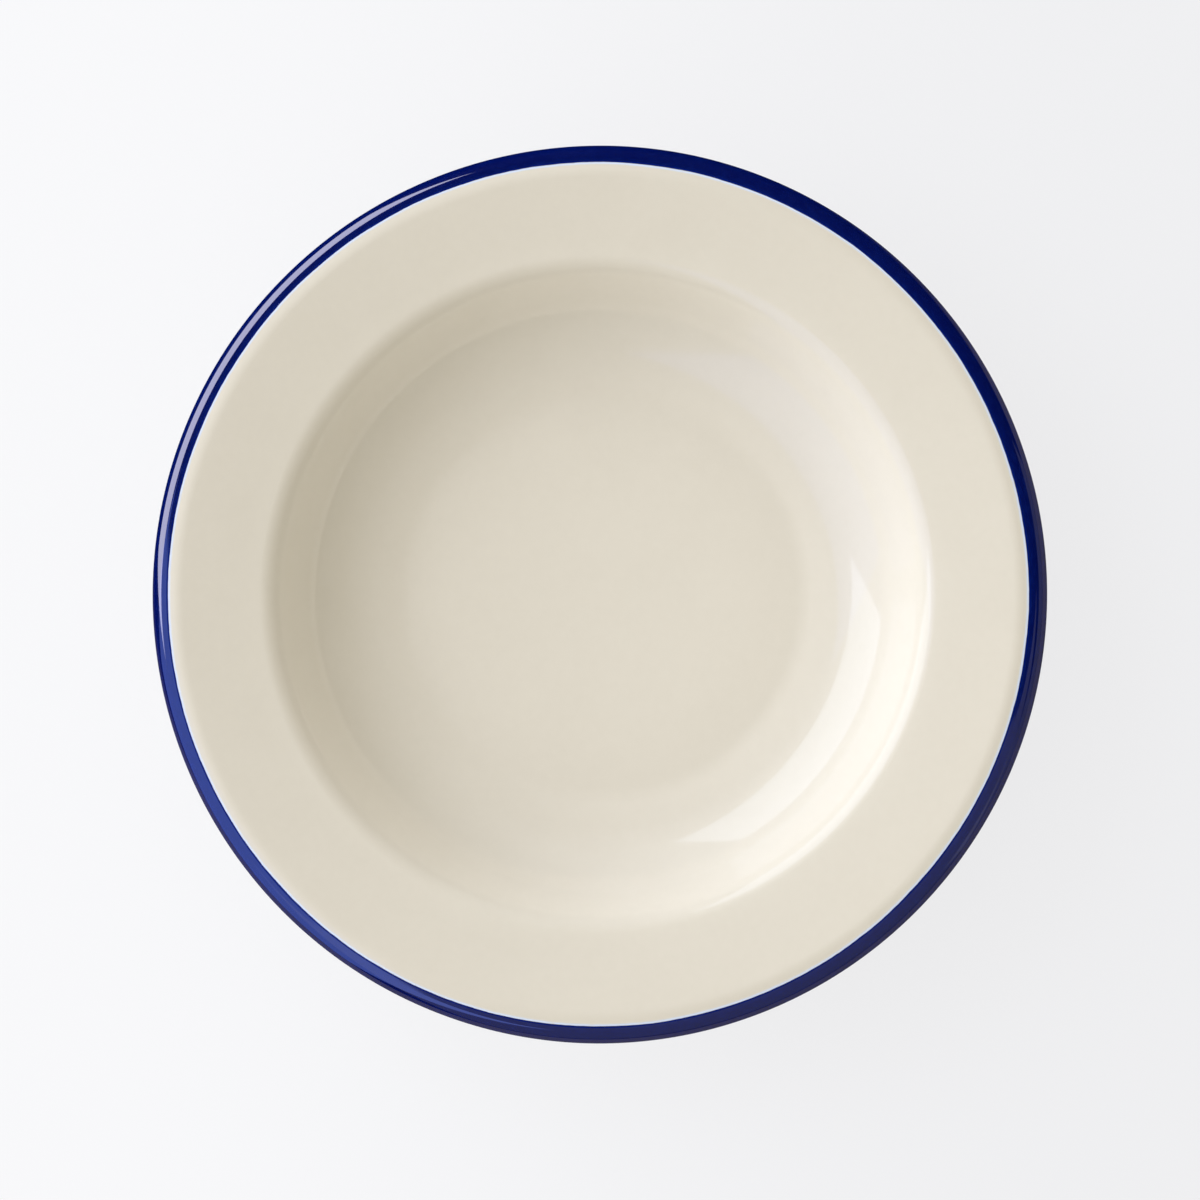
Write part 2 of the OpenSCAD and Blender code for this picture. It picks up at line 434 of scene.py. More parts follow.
# Node trees
class Tree:
    """A node tree under construction"""

    def __init__(self, tree):
        self.tree = tree
        self.tree.nodes.clear()

    def node(self, kind, settings=None, **inputs):
        """Adds a node: settings are its properties, and inputs are values or sockets by name or number"""
        made = self.tree.nodes.new(kind)
        for key, value in (settings or {}).items():
            setattr(made, key, value)
        for key, value in inputs.items():
            self.feed(made, key, value)
        return made

    def feed(self, made, key, value):
        socket = made.inputs[int(key[1:])] if key[0] == "_" else made.inputs[key.replace("_", " ")]
        if isinstance(value, bpy.types.NodeSocket):
            self.tree.links.new(value, socket)
        else:
            socket.default_value = value

    def socket_in(self, name, kind, default=None):
        socket = self.tree.interface.new_socket(name=name, in_out="INPUT", socket_type=kind)
        if default is not None:
            socket.default_value = default

    def socket_out(self, name, kind):
        self.tree.interface.new_socket(name=name, in_out="OUTPUT", socket_type=kind)

    def math(self, operation, a, b=0.0):
        return self.node("ShaderNodeMath", {"operation": operation}, _0=a, _1=b).outputs[0]

    def vector(self, operation, a, b=(0, 0, 0)):
        made = self.node("ShaderNodeVectorMath", {"operation": operation}, _0=a, _1=b)
        return made.outputs["Value" if operation in ("LENGTH", "DOT_PRODUCT") else "Vector"]

    def noise(self, place, fineness, detail=2.0):
        """Noise about one half, with a number of features to the metre"""
        made = self.node("ShaderNodeTexNoise", Vector=place, Scale=fineness, Detail=detail)
        return made.outputs["Fac"]

    def ramp(self, value, low, high):
        """0 up to the low value, 1 from the high one, and eased between them"""
        eased = {"interpolation_type": "SMOOTHSTEP"}
        made = self.node("ShaderNodeMapRange", eased, Value=value, From_Min=low, From_Max=high)
        return made.outputs["Result"]

    def blend(self, share, a, b):
        """Colour a, turned to colour b by a share"""
        return self.node("ShaderNodeMix", {"data_type": "RGBA"}, _0=share, _6=a, _7=b).outputs[2]

    def repeated(self, value):
        """Vector with the same number three times"""
        return self.node("ShaderNodeCombineXYZ", X=value, Y=value, Z=value).outputs[0]

    def total(self, *values):
        """Sum of values, each a socket or a pair of a socket and its factor"""
        terms = [self.math("MULTIPLY", *value) if isinstance(value, tuple) else value for value in values]
        while len(terms) > 1:
            terms.append(self.math("ADD", terms.pop(0), terms.pop(0)))
        return terms[0]

    def shared(self, build, **inputs):
        """Outputs of a shared group, which is built when it is first asked for"""
        made = self.node("ShaderNodeGroup", {"node_tree": shared_tree(build)}, **inputs)
        return made.outputs


def shared_tree(build):
    name = build.__name__.replace("_", " ").title()
    return bpy.data.node_groups.get(name) or build(name)


def new_group(name, inputs, outputs):
    """An empty shader group that takes a place and numbers and gives numbers, with its group input"""
    tree = Tree(bpy.data.node_groups.new(name, "ShaderNodeTree"))
    tree.socket_in("Place", "NodeSocketVector")
    for key, default in inputs.items():
        tree.socket_in(key, "NodeSocketFloat", default)
    for key in outputs:
        tree.socket_out(key, "NodeSocketFloat")
    return tree, tree.node("NodeGroupInput").outputs


# Steps of the sweep round the axis, how near points are to be one, and the least angle of a sharp edge
TURN_STEPS = 360
DOUBLES = 0.002 * MM
SHARP_EDGE = math.radians(40)
# Dips of the glazed surface, and the number that sets where they lie
DIPS_TO_THE_METRE = 24.0
SEED = 3


def turned_section(name):
    """Geometry Nodes that turn a section's outline about the plate's axis"""
    group = bpy.data.node_groups.new(name, "GeometryNodeTree")
    tree = Tree(group)
    tree.socket_in("Outline", "NodeSocketGeometry")
    tree.socket_in("Steps Round", "NodeSocketInt", TURN_STEPS)
    tree.socket_in("Sinking", "NodeSocketVector")
    tree.socket_in("Dips to the Metre", "NodeSocketFloat", 1.0)
    tree.socket_in("Seed", "NodeSocketInt", 0)
    tree.socket_in("Finish", "NodeSocketMaterial")
    tree.socket_out("Geometry", "NodeSocketGeometry")
    given = tree.node("NodeGroupInput").outputs
    outline = tree.node("GeometryNodeMeshToCurve", Mesh=given["Outline"])
    circle = tree.node("GeometryNodeCurvePrimitiveCircle", Resolution=given["Steps Round"], Radius=1.0)
    upright = tree.node("GeometryNodeSetCurveNormal", {"mode": "Z_UP"}, Curve=circle.outputs["Curve"])
    swept = tree.node(
        "GeometryNodeCurveToMesh", Curve=upright.outputs["Curve"], Profile_Curve=outline.outputs["Curve"]
    )
    closed = tree.node("GeometryNodeMergeByDistance", Geometry=swept.outputs["Mesh"], Distance=DOUBLES)
    place = tree.node("GeometryNodeInputPosition").outputs[0]
    start = tree.vector("ADD", place, tree.repeated(given["Seed"]))
    dips = tree.node("ShaderNodeTexNoise", Vector=start, Scale=given["Dips to the Metre"], Detail=1.0)
    dipped = tree.vector("MULTIPLY", dips.outputs["Color"], place)
    dip_depth = tree.vector("MULTIPLY", dipped, given["Sinking"])
    sunk_in = tree.vector("MULTIPLY", dip_depth, (-1, -1, -1))
    moved = tree.node("GeometryNodeSetPosition", Geometry=closed.outputs["Geometry"], Offset=sunk_in)
    angle = tree.node("GeometryNodeInputMeshEdgeAngle")
    soft = tree.node(
        "FunctionNodeCompare",
        {"data_type": "FLOAT", "operation": "LESS_THAN"},
        _0=angle.outputs["Unsigned Angle"],
        _1=SHARP_EDGE,
    )
    smooth = tree.node(
        "GeometryNodeSetShadeSmooth",
        {"domain": "EDGE"},
        Geometry=moved.outputs["Geometry"],
        Shade_Smooth=soft.outputs["Result"],
    )
    real = tree.node("GeometryNodeRealizeInstances", Geometry=smooth.outputs["Geometry"])
    finished = tree.node(
        "GeometryNodeSetMaterial", Geometry=real.outputs["Geometry"], Material=given["Finish"]
    )
    tree.node("NodeGroupOutput", Geometry=finished.outputs["Geometry"])
    return group


def outline_mesh(name, points, closed):
    """Edges through the outline, placed for a sweep round the unit circle"""
    mesh = bpy.data.meshes.new(name)
    count = len(points)
    edges = [(i, i + 1) for i in range(count - 1)] + ([(count - 1, 0)] if closed else [])
    mesh.from_pydata([(p.x - 1.0, -p.y, 0.0) for p in points], edges, [])
    return mesh


def signed_volume(mesh):
    """Volume of a closed mesh, below zero where its faces point inwards"""
    mesh.calc_loop_triangles()
    places = [vertex.co for vertex in mesh.vertices]
    volume = 0.0
    for triangle in mesh.loop_triangles:
        a, b, c = (places[i] for i in triangle.vertices)
        volume += a.dot(b.cross(c)) / 6
    return volume


def turned_piece(name, points, closed, material, unevenness):
    """The solid that an outline sweeps round the axis, as a plain mesh"""
    maker = bpy.data.objects.new(name + "_outline", outline_mesh(name + "_outline", points, closed))
    bpy.context.scene.collection.objects.link(maker)
    modifier = maker.modifiers.new("Turned Section", "NODES")
    modifier.node_group = shared_tree(turned_section)
    chosen = {
        "Steps Round": TURN_STEPS,
        "Sinking": (unevenness / RIM_R, unevenness / RIM_R, unevenness / RIM_H),
        "Dips to the Metre": DIPS_TO_THE_METRE,
        "Seed": SEED,
        "Finish": material,
    }
    for item in modifier.node_group.interface.items_tree:
        if item.name in chosen:
            modifier[item.identifier] = chosen[item.name]
    depsgraph = bpy.context.evaluated_depsgraph_get()
    mesh = bpy.data.meshes.new_from_object(maker.evaluated_get(depsgraph), depsgraph=depsgraph)
    mesh.name = name
    bpy.data.objects.remove(maker)
    if signed_volume(mesh) < 0:
        mesh.flip_normals()
    piece = bpy.data.objects.new(name, mesh)
    bpy.context.scene.collection.objects.link(piece)
    return piece


# Finishes
def radius_of(tree, place):
    return tree.vector("LENGTH", tree.vector("MULTIPLY", place, (1, 1, 0)))


def centred(tree, noise):
    return tree.math("SUBTRACT", noise, 0.5)


# Waves to the metre in the band's edge, and how many wobbles each kind moves it
SLOW_WAVES = 55.0
SLOW_WANDER = 3.2
QUICK_WAVES = 420.0
QUICK_WANDER = 1.1
# In fringe widths from the band's edge: how soft that edge is, and where the pale line starts and is full
EDGE_BLUR = 0.16
FRINGE_START = -1.6
FRINGE_FULL = -0.4
# Width of the band's inner margin, where the cobalt is drawn lighter; beyond it, on the rolled lip, it is
# drawn darker
MARGIN_W = 1.6 * MM


def lip_band(name):
    """Where the cobalt lies, the pale fringe beside it, and how deep in the band a place is"""
    radii = {"Upper Radius": 0.0, "Under Radius": 0.0, "Parting Height": 0.0}
    edge = {"Wobble": 0.0, "Fringe Width": 1.0}
    tree, given = new_group(name, {**radii, **edge}, ("Cobalt", "Fringe", "Depth"))
    place = given["Place"]
    height = tree.node("ShaderNodeSeparateXYZ", _0=place).outputs["Z"]
    above = tree.math("GREATER_THAN", height, given["Parting Height"])
    start = tree.node("ShaderNodeMix", _0=above, _2=given["Under Radius"], _3=given["Upper Radius"])
    slow = centred(tree, tree.noise(place, SLOW_WAVES, detail=3.0))
    quick = centred(tree, tree.noise(place, QUICK_WAVES, detail=1.0))
    wobbles = tree.total((slow, SLOW_WANDER), (quick, QUICK_WANDER))
    wander = tree.math("MULTIPLY", wobbles, given["Wobble"])
    inward = tree.total(radius_of(tree, place), (start.outputs[0], -1.0), wander)
    blur = tree.math("MULTIPLY", given["Fringe Width"], EDGE_BLUR)
    cobalt = tree.ramp(inward, tree.math("MULTIPLY", blur, -1.0), blur)
    fringe_start = tree.math("MULTIPLY", given["Fringe Width"], FRINGE_START)
    fringe_full = tree.math("MULTIPLY", given["Fringe Width"], FRINGE_FULL)
    outer = tree.ramp(inward, fringe_start, fringe_full)
    fringe = tree.math("MULTIPLY", outer, tree.math("SUBTRACT", 1.0, cobalt))
    depth = tree.ramp(inward, 0.0, MARGIN_W)
    tree.node("NodeGroupOutput", Cobalt=cobalt, Fringe=fringe, Depth=depth)
    return tree.tree


def brush_strokes(name):
    """Streaks that run round the plate, as a loaded brush leaves on a turning wheel"""
    tree, given = new_group(name, {"Strokes Round": 50.0, "Stroke Width": 0.5 * MM}, ("Strokes",))
    x, y, z = tree.node("ShaderNodeSeparateXYZ", _0=given["Place"]).outputs
    radius = radius_of(tree, given["Place"])
    across = tree.math("DIVIDE", tree.math("SUBTRACT", radius, z), given["Stroke Width"])
    round_x = tree.math("MULTIPLY", tree.math("DIVIDE", x, radius), given["Strokes Round"])
    round_y = tree.math("MULTIPLY", tree.math("DIVIDE", y, radius), given["Strokes Round"])
    unrolled = tree.node("ShaderNodeCombineXYZ", X=round_x, Y=round_y, Z=across).outputs[0]
    tree.node("NodeGroupOutput", Strokes=tree.noise(unrolled, 1.0, detail=3.0))
    return tree.tree


# Waves to the metre in the turning rings, and in the rings where the glaze lies thick or thin
RING_WAVES = 25.0
COAT_WAVES = 40.0
# How far the thick and thin rings wander, and the share of their width that is full
COAT_WANDER = 2.5 * MM
COAT_FULL = 0.35


def turning_rings(name):
    """Fine rings that the turning tool left round the axis"""
    tree, given = new_group(name, {"Ring Width": 1.0 * MM}, ("Rings",))
    height = tree.node("ShaderNodeSeparateXYZ", _0=given["Place"]).outputs["Z"]
    waves = tree.noise(given["Place"], RING_WAVES, detail=1.0)
    drift = tree.math("MULTIPLY", waves, given["Ring Width"])
    along = tree.total(radius_of(tree, given["Place"]), height, drift)
    steps = tree.math("DIVIDE", along, given["Ring Width"])
    made = tree.node("ShaderNodeTexNoise", {"noise_dimensions": "1D"}, W=steps, Scale=1.0, Detail=3.0)
    tree.node("NodeGroupOutput", Rings=made.outputs["Fac"])
    return tree.tree


def coat_depth(name):
    """How near a place is to a ring where the glaze pools or thins"""
    tree, given = new_group(name, {"Ring Radius": 0.0, "Ring Width": 1.0}, ("Nearness",))
    drift = centred(tree, tree.noise(given["Place"], COAT_WAVES, detail=2.0))
    radius = radius_of(tree, given["Place"])
    off = tree.total(radius, (given["Ring Radius"], -1.0), (drift, COAT_WANDER))
    full_w = tree.math("MULTIPLY", given["Ring Width"], COAT_FULL)
    far = tree.ramp(tree.math("ABSOLUTE", off), full_w, given["Ring Width"])
    tree.node("NodeGroupOutput", Nearness=tree.math("SUBTRACT", 1.0, far))
    return tree.tree


class Spots(NamedTuple):
    """Round marks: cells to the metre along each side, and the share of the cells that hold one"""

    cells: float
    chance: float


SPECKS = Spots(34.0, 0.3)
PINHOLES = Spots(27.0, 0.22)
GROG = Spots(900.0, 0.16)
# Share of a speck's or a pinhole's radius that is full
SPOT_CORE = 0.5
# Radii, in cells, between which a grain of grog fades
GROG_CORE = 0.15
GROG_EDGE = 0.4
# Patches of mottling to the metre, and what the coarse ones count for
COARSE_MOTTLE = 60.0
FINE_MOTTLE = 420.0
COARSE_SHARE = 0.55
# Waves and grains of the glaze's surface to the metre
SURFACE_WAVES = 70.0
SURFACE_PEEL = 700.0
# Heights of what stands on the glaze or lies in it
WAVE_H = 0.016 * MM
PEEL_H = 0.0007 * MM
PINHOLE_H = -0.03 * MM
SPECK_H = 0.006 * MM
# Heights of what stands on the clay
GRAIN_H = 0.05 * MM
GROG_H = 0.03 * MM


def glaze_marks(name):
    """Mottling, specks and pinholes of a glaze, and the height of its surface in metres"""
    marks = ("Mottle", "Specks", "Pinholes", "Height")
    tree, given = new_group(name, {"Speck Size": 1.0, "Waves": 1.0}, marks)
    place = given["Place"]
    coarse = tree.noise(place, COARSE_MOTTLE, detail=3.0)
    fine = tree.noise(place, FINE_MOTTLE, detail=3.0)
    mottle = tree.total((coarse, COARSE_SHARE), (fine, 1.0 - COARSE_SHARE))
    spots = []
    for cells, chance in (SPECKS, PINHOLES):
        cell = tree.node("ShaderNodeTexVoronoi", Vector=place, Scale=cells)
        red, green, _ = tree.node("ShaderNodeSeparateColor", Color=cell.outputs["Color"]).outputs
        size = tree.math("MULTIPLY", given["Speck Size"], tree.math("MULTIPLY", green, cells / 2))
        core = tree.math("MULTIPLY", size, SPOT_CORE)
        inside = tree.math("SUBTRACT", 1.0, tree.ramp(cell.outputs["Distance"], core, size))
        spots.append(tree.math("MULTIPLY", inside, tree.math("LESS_THAN", red, chance)))
    specks, pinholes = spots
    waves = tree.math("MULTIPLY", tree.noise(place, SURFACE_WAVES, detail=1.0), given["Waves"])
    peel = tree.noise(place, SURFACE_PEEL, detail=2.0)
    height = tree.total((waves, WAVE_H), (peel, PEEL_H), (pinholes, PINHOLE_H), (specks, SPECK_H))
    tree.node("NodeGroupOutput", Mottle=mottle, Specks=specks, Pinholes=pinholes, Height=height)
    return tree.tree


def clay_grain(name):
    """Grain and grog of fired clay, and the height of its surface in metres"""
    tree, given = new_group(name, {"Grains to the Metre": 2200.0}, ("Grain", "Grog", "Height"))
    place = given["Place"]
    fine = tree.noise(place, given["Grains to the Metre"], detail=4.0)
    cell = tree.node("ShaderNodeTexVoronoi", Vector=place, Scale=GROG.cells)
    red = tree.node("ShaderNodeSeparateColor", Color=cell.outputs["Color"]).outputs[0]
    chosen = tree.math("LESS_THAN", red, GROG.chance)
    inside = tree.math("SUBTRACT", 1.0, tree.ramp(cell.outputs["Distance"], GROG_CORE, GROG_EDGE))
    grog = tree.math("MULTIPLY", chosen, inside)
    height = tree.total((fine, GRAIN_H), (grog, GROG_H))
    tree.node("NodeGroupOutput", Grain=fine, Grog=grog, Height=height)
    return tree.tree


def opaque(colour_value):
    return (*colour_value, 1.0)


def new_material(name):
    material = bpy.data.materials.new(name)
    material.use_nodes = True
    return material, Tree(material.node_tree)


class Coat(NamedTuple):
    """What sets the glaze of one piece apart: rings where it lies thick and thin, how high the rings of the
    clay show through it, how wavy it is, how strongly it reflects and with what tint"""

    name: str
    thick_r: float
    thick_w: float
    thin_r: float
    thin_w: float
    rings_h: float
    waves: float
    ior: float
    gloss: tuple = (1.0, 1.0, 1.0)


# The cobalt's number is above a glaze's, so that the band reflects as strongly as in the photograph
CREAM_IOR = 1.5
COBALT_IOR = 2.9
# How far the cream is towards its thick colour, and what mottling, pools and thin places add to that
THICKNESS = 0.25
THICK_BY_MOTTLE = 0.55
THICK_IN_POOLS = 0.15
THICK_WHERE_THIN = -0.3
# How strongly specks and pinholes colour the cream
SPECK_SHARE = 0.6
PINHOLE_SHARE = 0.45
# Stroke values between which the pale line comes out, and those between which the cobalt turns thin
FRINGE_STROKES = (0.1, 0.5)
THIN_STROKES = (0.35, 0.75)
# How far strokes, the depth in the band and mottling turn the cobalt towards its thin colour
THIN_BY_STROKES = 0.35
THIN_BY_DEPTH = -0.25
THIN_BY_MOTTLE = 0.5
# Roughness of the glaze, and what is added to it
GLAZE_ROUGH = 0.045
ROUGH_BY_MOTTLE = 0.05
ROUGH_IN_PINHOLES = 0.3
ROUGH_IN_COBALT = -0.01
ROUGH_IN_SPECKS = 0.1
# Height of the brush strokes in the glaze
STROKE_H = 0.0004 * MM


def cream_colour(tree, finish, marks, thick, thin):
    depth = tree.total(
        (marks["Mottle"], THICK_BY_MOTTLE),
        (thick["Nearness"], THICK_IN_POOLS),
        (thin["Nearness"], THICK_WHERE_THIN),
    )
    depth = tree.math("ADD", depth, THICKNESS)
    cream = tree.blend(depth, opaque(finish.cream_thin), opaque(finish.cream_thick))
    for mark, strength in (("Specks", SPECK_SHARE), ("Pinholes", PINHOLE_SHARE)):
        cream = tree.blend(tree.math("MULTIPLY", marks[mark], strength), cream, opaque(finish.speck))
    return cream


def cobalt_colour(tree, finish, marks, band, strokes):
    thinness = tree.total(
        (tree.ramp(strokes["Strokes"], *THIN_STROKES), THIN_BY_STROKES),
        (band["Depth"], THIN_BY_DEPTH),
        (marks["Mottle"], THIN_BY_MOTTLE),
    )
    return tree.blend(thinness, opaque(finish.cobalt), opaque(finish.cobalt_thin))


def glaze_material(finish, coat):
    """Cream inside the band's edge and cobalt outside it, so that the edge may wander over the joint"""
    material, tree = new_material(coat.name)
    place = tree.node("ShaderNodeTexCoord").outputs["Object"]
    band = tree.shared(
        lip_band,
        Place=place,
        Upper_Radius=RIM_R - BAND_W - finish.bleed,
        Under_Radius=RIM_R - BAND_UNDER_W,
        Parting_Height=RIM_H - LIP_T / 2,
        Wobble=finish.wobble,
        Fringe_Width=finish.fringe_w,
    )
    marks = tree.shared(glaze_marks, Place=place, Speck_Size=finish.speck_d, Waves=coat.waves)
    strokes = tree.shared(brush_strokes, Place=place)
    rings = tree.shared(turning_rings, Place=place)
    thick = tree.shared(coat_depth, Place=place, Ring_Radius=coat.thick_r, Ring_Width=coat.thick_w)
    thin = tree.shared(coat_depth, Place=place, Ring_Radius=coat.thin_r, Ring_Width=coat.thin_w)
    cream = cream_colour(tree, finish, marks, thick, thin)
    brushed = tree.ramp(strokes["Strokes"], *FRINGE_STROKES)
    fringe_share = tree.math("MULTIPLY", band["Fringe"], brushed)
    cream = tree.blend(fringe_share, cream, opaque(finish.fringe))
    cobalt = cobalt_colour(tree, finish, marks, band, strokes)
    rough = tree.total(
        (marks["Mottle"], ROUGH_BY_MOTTLE),
        (marks["Pinholes"], ROUGH_IN_PINHOLES),
        (band["Cobalt"], ROUGH_IN_COBALT),
        (marks["Specks"], ROUGH_IN_SPECKS),
    )
    height = tree.total(marks["Height"], (rings["Rings"], coat.rings_h), (strokes["Strokes"], STROKE_H))
    bump = tree.node("ShaderNodeBump", Height=height, Strength=1.0, Distance=1.0)
    shader = tree.node(
        "ShaderNodeBsdfPrincipled",
        Base_Color=tree.blend(band["Cobalt"], cream, cobalt),
        Roughness=tree.math("ADD", rough, GLAZE_ROUGH),
        IOR=coat.ior,
        Specular_Tint=opaque(coat.gloss),
        Normal=bump.outputs[0],
    )
    tree.node("ShaderNodeOutputMaterial", Surface=shader.outputs["BSDF"])
    return material


CLAY_IOR = 1.45
# Height below the glaze's edge over which the clay is toasted, and heights over which its polish wears off
TOAST_H = 0.5 * MM
POLISH_LOW = 0.02 * MM
POLISH_HIGH = 0.25 * MM
# How strongly grain, grog, toasting and polish darken the clay
DARK_BY_GRAIN = 0.35
DARK_IN_GROG = 0.6
DARK_WHERE_TOASTED = 0.55
DARK_WHERE_POLISHED = 0.2
# Roughness of the clay, and what is added to it
CLAY_ROUGH = 0.62
ROUGH_BY_GRAIN = 0.25
ROUGH_WHERE_POLISHED = -0.18
ROUGH_BY_RINGS = 0.1
# Width and height of the turning rings on the bare clay
CLAY_RING_W = 0.5 * MM
CLAY_RING_H = 0.05 * MM


def clay_material(finish):
    """Bare fired clay, toasted beside the glaze and polished where the plate stands"""
    material, tree = new_material("bare_clay")
    place = tree.node("ShaderNodeTexCoord").outputs["Object"]
    grain = tree.shared(clay_grain, Place=place)
    rings = tree.shared(turning_rings, Place=place, Ring_Width=CLAY_RING_W)
    height_up = tree.node("ShaderNodeSeparateXYZ", _0=place).outputs["Z"]
    toasted = tree.ramp(height_up, BARE_H - TOAST_H, BARE_H)
    polish = tree.math("SUBTRACT", 1.0, tree.ramp(height_up, POLISH_LOW, POLISH_HIGH))
    base = opaque(finish.clay)
    for amount, strength in (
        (grain["Grain"], DARK_BY_GRAIN),
        (grain["Grog"], DARK_IN_GROG),
        (toasted, DARK_WHERE_TOASTED),
        (polish, DARK_WHERE_POLISHED),
    ):
        base = tree.blend(tree.math("MULTIPLY", amount, strength), base, opaque(finish.clay_dark))
    rough = tree.total(
        (grain["Grain"], ROUGH_BY_GRAIN), (polish, ROUGH_WHERE_POLISHED), (rings["Rings"], ROUGH_BY_RINGS)
    )
    height = tree.total(grain["Height"], (rings["Rings"], CLAY_RING_H))
    bump = tree.node("ShaderNodeBump", Height=height, Strength=1.0, Distance=1.0)
    shader = tree.node(
        "ShaderNodeBsdfPrincipled",
        Base_Color=base,
        Roughness=tree.math("ADD", rough, CLAY_ROUGH),
        IOR=CLAY_IOR,
        Normal=bump.outputs[0],
    )
    tree.node("ShaderNodeOutputMaterial", Surface=shader.outputs["BSDF"])
    return material


# Places of the rings where the glaze of the back pools and thins, from the foot ring's roots
HEEL_POOL = 3 * MM
RECESS_POOL = 2 * MM
WIPED_W = 1 * MM


class PieceOperator:
    """What the operators of the five pieces share"""

    node = ""
    slot = ""
    closed = False

    def finish(self, look, sizes):
        raise NotImplementedError

    def execute(self, context):
        sizes, look = context.scene.plate_sizes, context.scene.plate_finish
        points = getattr(Section(sizes), self.node)
        material = self.finish(look, sizes)
        piece = turned_piece(self.node + "_finish", points, self.closed, material, look.unevenness)
        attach(piece, "root")
        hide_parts(self.node)
        return {"FINISHED"}


class PLATE_OT_clay_body(PieceOperator, bpy.types.Operator):
    """Turn the fired clay body, bare on its tread"""

    bl_idname = "soup_plate.clay_body"
    bl_label = "Clay Body"
    node = "clay_body"
    slot = "bare_clay"

    def finish(self, look, sizes):
        return clay_material(look)


class PLATE_OT_face_glaze(PieceOperator, bpy.types.Operator):
    """Lay the cream glaze over the well, the wall and the rim"""

    bl_idname = "soup_plate.face_glaze"
    bl_label = "Face Glaze"
    node = "face_glaze"
    slot = "cream_glaze"

    def finish(self, look, sizes):
        # The cream is lighter in a ring on the wall and darker in a ring on the rim, set to the brightness
        # of the lit well: partly the glaze's own tone, partly painted light
        wall_r = (sizes.floor_r + 2 * sizes.well_r) / 3
        rim_r = (sizes.well_r + RIM_R) / 2
        coat = Coat(
            name="face_cream",
            thick_r=wall_r,
            thick_w=15 * MM,
            thin_r=rim_r,
            thin_w=21 * MM,
            rings_h=0.0,
            waves=1.0,
            ior=CREAM_IOR,
        )
        return glaze_material(look, coat)


class PLATE_OT_rim_band(PieceOperator, bpy.types.Operator):
    """Lay the cobalt band round the lip"""

    bl_idname = "soup_plate.rim_band"
    bl_label = "Rim Band"
    node = "rim_band"
    slot = "cobalt_glaze"
    closed = True

    def finish(self, look, sizes):
        coat = Coat(
            name="band_cobalt",
            thick_r=RIM_R - sizes.lip_w,
            thick_w=2 * MM,
            thin_r=RIM_R,
            thin_w=1 * MM,
            rings_h=0.0,
            waves=1.0,
            ior=COBALT_IOR,
            gloss=tuple(look.cobalt_gloss),
        )
        return glaze_material(look, coat)


class PLATE_OT_back_glaze(PieceOperator, bpy.types.Operator):
    """Lay the cream glaze over the back"""

    bl_idname = "soup_plate.back_glaze"
    bl_label = "Back Glaze"
    node = "back_glaze"
    slot = "cream_glaze"
    closed = True

    def finish(self, look, sizes):
        coat = Coat(
            name="back_cream",
            thick_r=sizes.foot_r + HEEL_POOL,
            thick_w=7 * MM,
            thin_r=sizes.foot_r - WIPED_W,
            thin_w=WIPED_W,
            rings_h=0.03 * MM,
            waves=1.6,
            ior=CREAM_IOR,
        )
        return glaze_material(look, coat)


class PLATE_OT_foot_well_glaze(PieceOperator, bpy.types.Operator):
    """Lay the cream glaze in the recess of the foot"""

    bl_idname = "soup_plate.foot_well_glaze"
    bl_label = "Foot Recess Glaze"
    node = "foot_well_glaze"
    slot = "cream_glaze"

    def finish(self, look, sizes):
        inner_root = sizes.foot_r - sizes.foot_w
        coat = Coat(
            name="recess_cream",
            thick_r=inner_root - RECESS_POOL,
            thick_w=6 * MM,
            thin_r=inner_root + WIPED_W,
            thin_w=WIPED_W,
            rings_h=0.04 * MM,
            waves=1.6,
            ior=CREAM_IOR,
        )
        return glaze_material(look, coat)


# Width of the camera's sensor in millimetres, and the picture's width and the rim's middle in pixels
SENSOR_W = 36.0
IMAGE_W = 1200
RIM_CENTRE_PX = Vector((595.3, 593.8))
# Length of the floor's sides
FLOOR_SIZE = 6.0
# Blender's area lamps give out their energy over this many times their face
LAMP_SPREAD = math.pi


class Lamp(NamedTuple):
    """A flat bright face: its settings, its place, the point that it faces, its roll and its size"""

    name: str
    brightness: str
    tint: str
    only_gloss: bool
    place: tuple
    aim: tuple
    roll: float
    size: tuple


# Place, aim, roll in degrees and size of each face
MIDDLE = (0, 0, 0)
SOFTBOX = ((-1.84, 1.27, 1.00), (-0.29, 0.79, 0), -5.5, (2.6, 2.08))
SIDE_CARD = ((1.9, -0.3, 0.6), MIDDLE, 0, (2.2, 1.1))
FRONT_CARD = ((0.3, -1.0, 0.95), MIDDLE, 0, (2.6, 2.1))
CORNER_CARD = ((-1.2, -0.68, 0.95), MIDDLE, 0, (1.6, 2.1))
LAMPS = (
    Lamp("softbox", "softbox_light", "softbox_tint", False, *SOFTBOX),
    Lamp("softbox_sheen", "sheen_light", "sheen", True, *SOFTBOX),
    Lamp("side_card", "card_light", "softbox_tint", False, *SIDE_CARD),
    Lamp("front_card", "card_light", "softbox_tint", False, *FRONT_CARD),
    Lamp("corner_card", "glow_light", "glow", True, *CORNER_CARD),
)


class Window(NamedTuple):
    """Soft light from one side of the room: degrees from +X towards +Y, and share of the brightest"""

    side: float
    share: float


WINDOWS = (Window(135, 1.0), Window(180, 0.73), Window(225, 0.92), Window(90, 0.59))
# Height of the windows above the floor, as an angle, and how closely their light keeps to their direction
WINDOW_RISE = math.radians(22)
WINDOW_FOCUS = 3.0
# Half the width over which the floor's painted light goes from its lit colour to its far colour
PAINTED_LIGHT_FADE = 0.16
# Radii between which the floor turns into the plain backdrop, so that no horizon shows
FLOOR_NEAR = 0.5
FLOOR_AWAY = 1.4
# Shares of the rim's radius between which the floor's own glow comes in, so that the plate's shadow stays
SHADOW_CORE = 0.62
SHADOW_EDGE = 0.99
